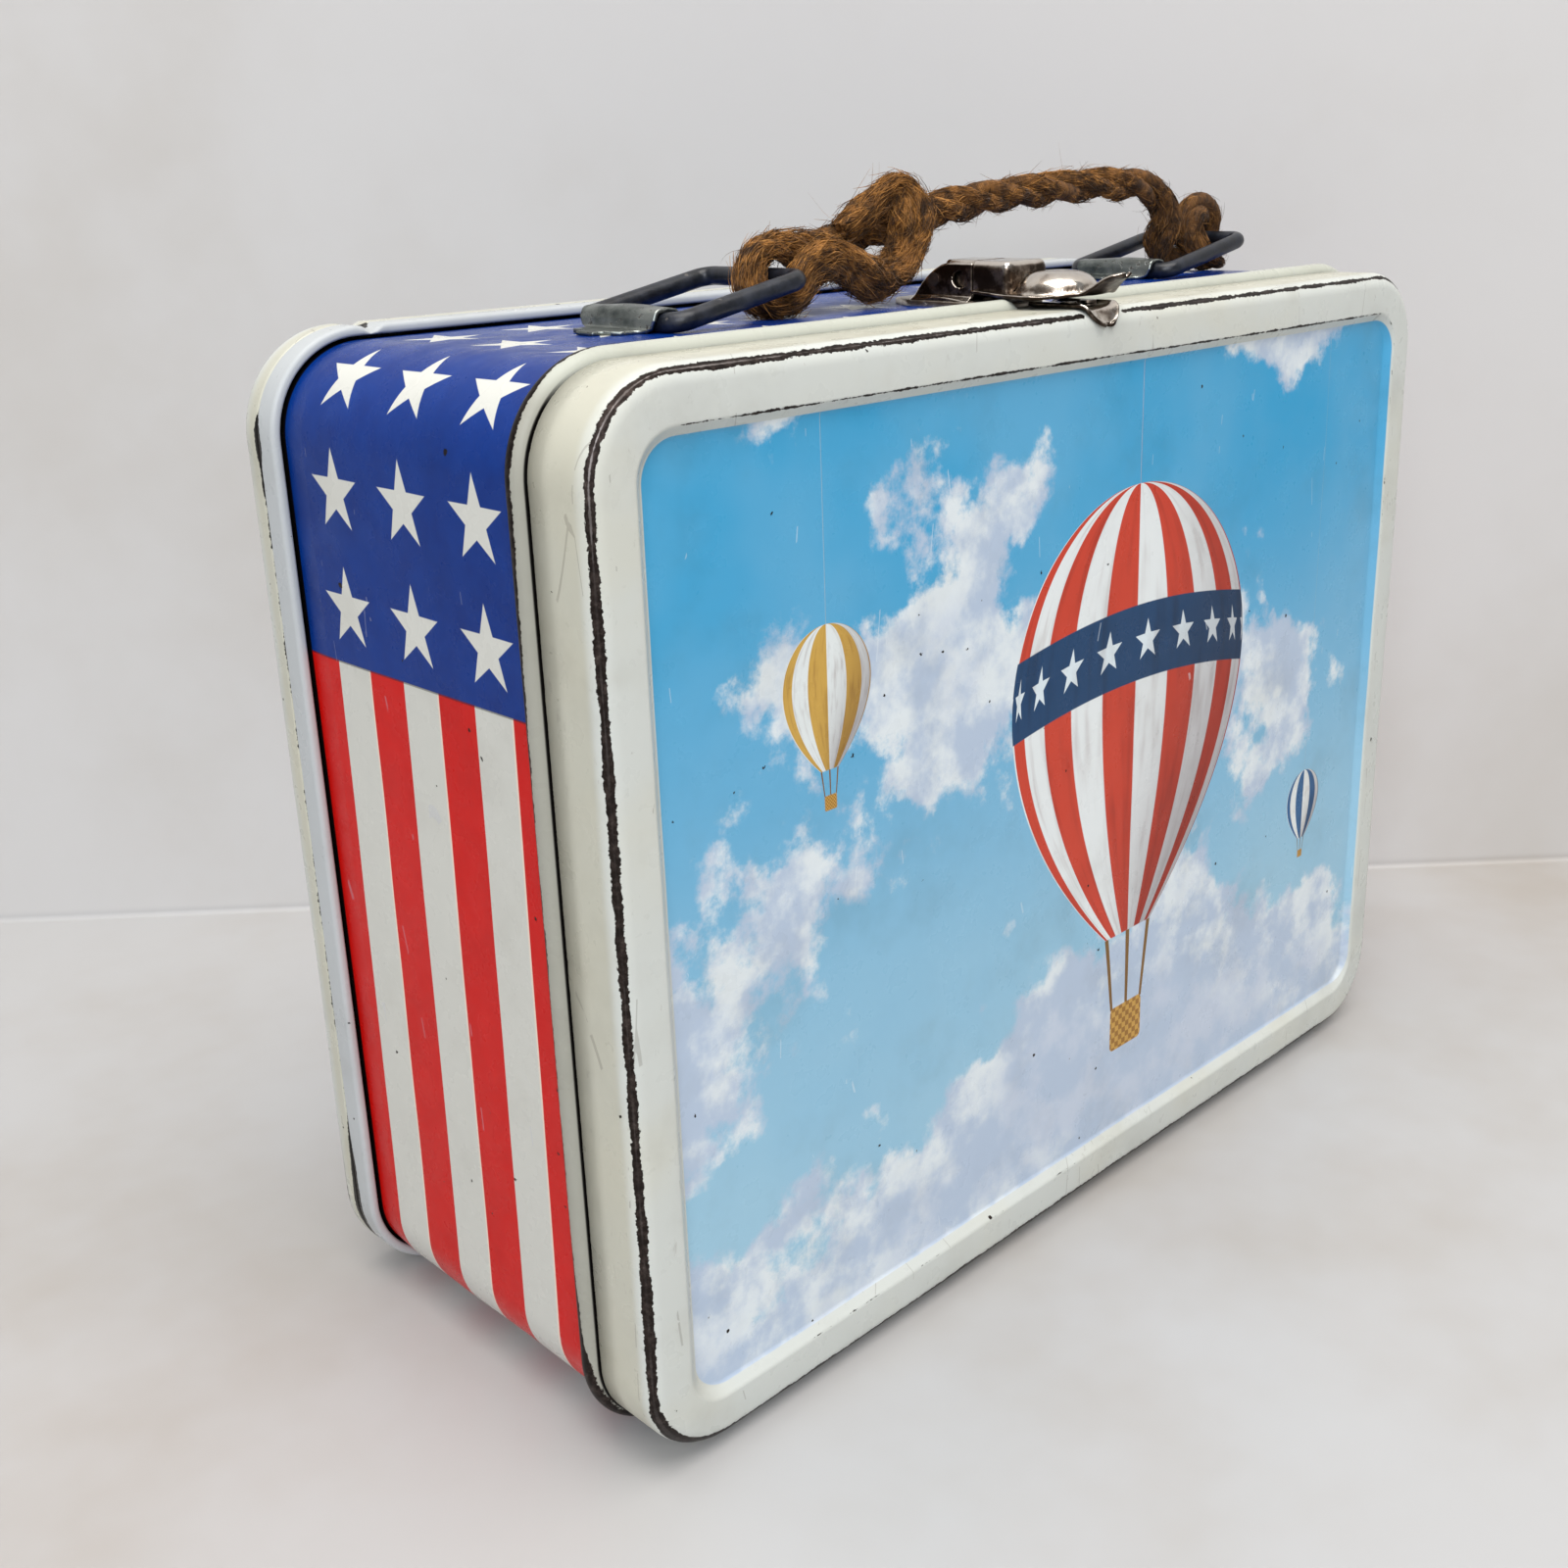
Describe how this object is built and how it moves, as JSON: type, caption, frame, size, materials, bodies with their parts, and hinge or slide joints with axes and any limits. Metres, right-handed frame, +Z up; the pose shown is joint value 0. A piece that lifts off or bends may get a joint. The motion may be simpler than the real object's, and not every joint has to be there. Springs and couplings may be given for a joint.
{
  "type": "metal lunch box",
  "caption": "Hinged steel lunch box with rounded corners, spring latch, two wire handle loops joined by a tied rope, and a folding bottle clip inside.",
  "frame": {"origin": "on the surface that the box stands on, under the middle of the whole object with its latch lip, which is 2 mm in front of the middle of the box alone", "axes": "+X along the box, -Y out of the lid's face, +Z up"},
  "size_m": [0.222, 0.092, 0.1934],
  "materials": {
    "printed_band": "lithographed tinplate, royal blue with white stars above red and white stripes, gloss varnish",
    "printed_back": "lithographed tinplate, ivory border round a sky picture, gloss varnish",
    "printed_lid": "lithographed tinplate, ivory border round a sky picture, gloss varnish, worn edges",
    "bare_tinplate": "bare tinned steel sheet",
    "nickel_plate": "nickel plate, brown with age",
    "hinge_steel": "plain steel wire",
    "spring_steel": "spring steel wire",
    "galvanised_steel": "galvanised sheet with rust specks",
    "black_wire": "steel wire with a dark blue-black lacquer",
    "clip_wire": "tinned steel wire",
    "jute_rope": "hairy three-strand coir and jute rope"
  },
  "bodies": {
    "box": {"body_band": "printed_band", "neck_ring": "bare_tinplate", "back_panel": "printed_back", "hinge_pin": "hinge_steel", "latch_base": "nickel_plate", "latch_pin": "hinge_steel", "latch_spring": "spring_steel", "latch_rivets": "nickel_plate", "handle_bracket_left": "galvanised_steel", "handle_bracket_right": "galvanised_steel", "clip_ear_left": "bare_tinplate", "clip_ear_right": "bare_tinplate", "clip_rivets": "bare_tinplate"},
    "lid": {"lid_pan": "printed_lid", "catch_plate": "nickel_plate", "catch_rivets": "nickel_plate"},
    "lever": {"latch_lever": "nickel_plate"},
    "loop_left": {"handle_loop_left": "black_wire"},
    "loop_right": {"handle_loop_right": "black_wire"},
    "rope": {"handle_rope": "jute_rope"},
    "clip": {"bottle_clip": "clip_wire"}
  },
  "joints": [
    {"name": "lid_hinge", "type": "hinge", "parent": "box", "child": "lid", "pos_m": [0, -0.027, 0.0019], "axis": [1, 0, 0], "range_deg": [0, 170]},
    {"name": "latch_lever_pivot", "type": "hinge", "parent": "box", "child": "lever", "pos_m": [0, -0.0088, 0.1757], "axis": [-1, 0, 0], "range_deg": [0, 60], "stiffness_Nm_per_rad": 0.01, "springref_deg": -17.19},
    {"name": "handle_left", "type": "hinge", "parent": "box", "child": "loop_left", "pos_m": [-0.064, 0.004, 0.17275], "axis": [0, -1, 0], "range_deg": [0, 150]},
    {"name": "handle_right", "type": "hinge", "parent": "box", "child": "loop_right", "pos_m": [0.068, 0.004, 0.17275], "axis": [0, -1, 0], "range_deg": [0, 150]},
    {"name": "rope_swing", "type": "hinge", "parent": "loop_left", "child": "rope", "pos_m": [-0.03696, 0.004, 0.17776], "axis": [0, -1, 0], "range_deg": [-150, 0]},
    {"name": "bottle_clip_pivot", "type": "hinge", "parent": "box", "child": "clip", "pos_m": [-0.05, 0.0413, 0.118], "axis": [-1, 0, 0], "range_deg": [0, 90]}
  ],
  "couplings": [
    {"joint": "handle_right", "follows": "handle_left", "ratio": 1},
    {"joint": "rope_swing", "follows": "handle_left", "ratio": -1}
  ]
}
